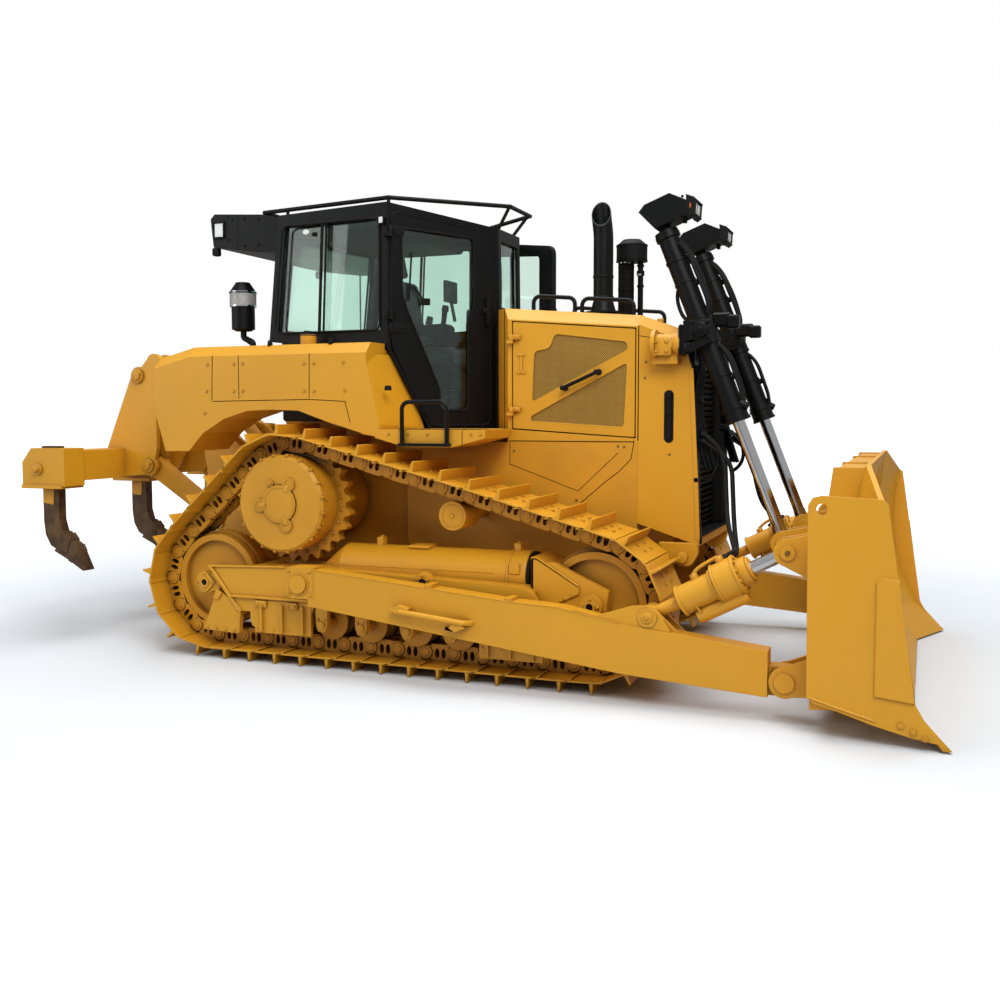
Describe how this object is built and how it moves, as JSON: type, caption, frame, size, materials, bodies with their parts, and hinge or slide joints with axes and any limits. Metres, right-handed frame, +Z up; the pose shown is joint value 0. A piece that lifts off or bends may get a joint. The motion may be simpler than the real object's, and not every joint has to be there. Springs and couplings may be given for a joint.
{
  "type": "track-type bulldozer",
  "caption": "Track-type bulldozer with raised drive sprockets, angled-wing front blade, rear ripper, enclosed cab and opening doors.",
  "frame": {"origin": "bottom centre of the bounding box at rest, on the ground under the middle of the machine", "axes": "+X forward towards the blade, +Y to the machine's left, +Z up"},
  "size_m": [6.512, 3.328, 3.16],
  "materials": {
    "yellow_paint": "semi-gloss",
    "black_paint": "satin",
    "chrome_rod": "polished",
    "tinted_glass": "clear",
    "cast_engine": "painted",
    "seat_cloth": "woven",
    "worn_steel": "worn"
  },
  "bodies": {
    "chassis": {"main_case": "yellow_paint", "engine_block": "cast_engine", "track_right": "yellow_paint", "track_left": "yellow_paint", "sprocket_right": "yellow_paint", "sprocket_left": "yellow_paint", "track_wheels_right": "yellow_paint", "track_wheels_left": "yellow_paint", "track_frame_right": "yellow_paint", "track_frame_left": "yellow_paint", "equaliser_bar": "yellow_paint", "hood": "yellow_paint", "radiator_guard": "yellow_paint", "grille": "black_paint", "exhaust_stack": "black_paint", "air_precleaner": "black_paint", "handrails": "black_paint", "cab_shell": "black_paint", "cab_glass": "tinted_glass", "operator_seat": "seat_cloth", "roof_unit": "black_paint", "filter_canister": "black_paint", "roof_rail": "black_paint", "fender_right": "yellow_paint", "fender_left": "yellow_paint", "grab_loop_right": "black_paint", "grab_loop_left": "black_paint", "lift_support_right": "yellow_paint", "lift_support_left": "yellow_paint", "lift_yoke_right": "black_paint", "lift_yoke_left": "black_paint", "ripper_bracket": "yellow_paint"},
    "push_arms": {"push_arm_right": "yellow_paint", "push_arm_left": "yellow_paint"},
    "blade": {"blade": "yellow_paint"},
    "lift_barrels": {"lift_barrel_right": "yellow_paint", "lift_barrel_left": "yellow_paint", "work_lamp_right": "black_paint", "work_lamp_left": "black_paint"},
    "lift_rods": {"lift_rod_right": "chrome_rod", "lift_rod_left": "chrome_rod"},
    "tilt_barrels": {"tilt_barrel_right": "yellow_paint", "tilt_barrel_left": "yellow_paint"},
    "tilt_rods": {"tilt_rod_right": "chrome_rod", "tilt_rod_left": "chrome_rod"},
    "ripper_lower_links": {"ripper_lower_link": "yellow_paint"},
    "ripper_tool": {"ripper_beam": "yellow_paint", "ripper_shanks": "worn_steel"},
    "ripper_top_links": {"ripper_upper_links": "yellow_paint"},
    "ripper_rams": {"ripper_barrels": "yellow_paint"},
    "ripper_pistons": {"ripper_rods": "chrome_rod"},
    "door_right": {"cab_door_right": "black_paint", "door_glass_right": "tinted_glass"},
    "door_left": {"cab_door_left": "black_paint", "door_glass_left": "tinted_glass"},
    "engine_cover_right": {"engine_door_right": "yellow_paint"},
    "engine_cover_left": {"engine_door_left": "yellow_paint"}
  },
  "joints": [
    {"name": "blade_lift", "type": "hinge", "parent": "chassis", "child": "push_arms", "pos_m": [-0.654, 0, 0.592], "axis": [0, -1, 0], "range_deg": [-6.6, 12.5]},
    {"name": "blade_pitch", "type": "hinge", "parent": "push_arms", "child": "blade", "pos_m": [2.411, 0, 0.221], "axis": [0, -1, 0], "range_deg": [-5, 5]},
    {"name": "lift_cylinder_swing", "type": "hinge", "parent": "chassis", "child": "lift_barrels", "pos_m": [1.796, 0, 2.2], "axis": [0, -1, 0], "range_deg": [-4.2, 7.7]},
    {"name": "lift_cylinder_stroke", "type": "slide", "parent": "lift_barrels", "child": "lift_rods", "axis": [0.3646, 0, -0.9312], "range_m": [-0.631, 0.334]},
    {"name": "tilt_cylinder_swing", "type": "hinge", "parent": "push_arms", "child": "tilt_barrels", "pos_m": [1.647, 0, 0.53], "axis": [0, -1, 0], "range_deg": [-2.3, 2.3]},
    {"name": "tilt_cylinder_stroke", "type": "slide", "parent": "tilt_barrels", "child": "tilt_rods", "axis": [0.8845, 0, 0.4665], "range_m": [-0.057, 0.057]},
    {"name": "ripper_lift", "type": "hinge", "parent": "chassis", "child": "ripper_lower_links", "pos_m": [-1.966, 0, 0.85], "axis": [0, -1, 0], "range_deg": [0, 70]},
    {"name": "ripper_beam_level", "type": "hinge", "parent": "ripper_lower_links", "child": "ripper_tool", "pos_m": [-2.631, 0, 1.285], "axis": [0, -1, 0], "range_deg": [-70.1, 0]},
    {"name": "ripper_upper_link_swing", "type": "hinge", "parent": "chassis", "child": "ripper_top_links", "pos_m": [-2.046, 0, 1.56], "axis": [0, -1, 0], "range_deg": [0, 70.1]},
    {"name": "ripper_cylinder_swing", "type": "hinge", "parent": "chassis", "child": "ripper_rams", "pos_m": [-1.866, 0, 1.35], "axis": [0, -1, 0], "range_deg": [0, 59.2]},
    {"name": "ripper_cylinder_stroke", "type": "slide", "parent": "ripper_rams", "child": "ripper_pistons", "axis": [-0.6797, 0, 0.7335], "range_m": [-0.324, 0]},
    {"name": "cab_door_right_swing", "type": "hinge", "parent": "chassis", "child": "door_right", "pos_m": [-0.26489, -0.79932, 2.3], "axis": [0, 0, -1], "range_deg": [0, 70]},
    {"name": "cab_door_left_swing", "type": "hinge", "parent": "chassis", "child": "door_left", "pos_m": [-0.26489, 0.79932, 2.3], "axis": [0, 0, 1], "range_deg": [-30, 40]},
    {"name": "engine_door_right_swing", "type": "hinge", "parent": "chassis", "child": "engine_cover_right", "pos_m": [0.512, -0.577, 1.9], "axis": [0, 0, -1], "range_deg": [0, 75]},
    {"name": "engine_door_left_swing", "type": "hinge", "parent": "chassis", "child": "engine_cover_left", "pos_m": [0.512, 0.577, 1.9], "axis": [0, 0, 1], "range_deg": [0, 75]}
  ],
  "couplings": [
    {"joint": "lift_cylinder_swing", "follows": "blade_lift", "ratio": 0.5853},
    {"joint": "lift_cylinder_stroke", "follows": "blade_lift", "m_per_rad": -2.8813},
    {"joint": "tilt_cylinder_swing", "follows": "blade_pitch", "ratio": 0.3877},
    {"joint": "tilt_cylinder_stroke", "follows": "blade_pitch", "m_per_rad": -0.6296},
    {"joint": "ripper_beam_level", "follows": "ripper_lift", "ratio": -1},
    {"joint": "ripper_upper_link_swing", "follows": "ripper_lift", "ratio": 1},
    {"joint": "ripper_cylinder_swing", "follows": "ripper_lift", "ratio": 0.8403},
    {"joint": "ripper_cylinder_stroke", "follows": "ripper_lift", "m_per_rad": -0.263}
  ]
}
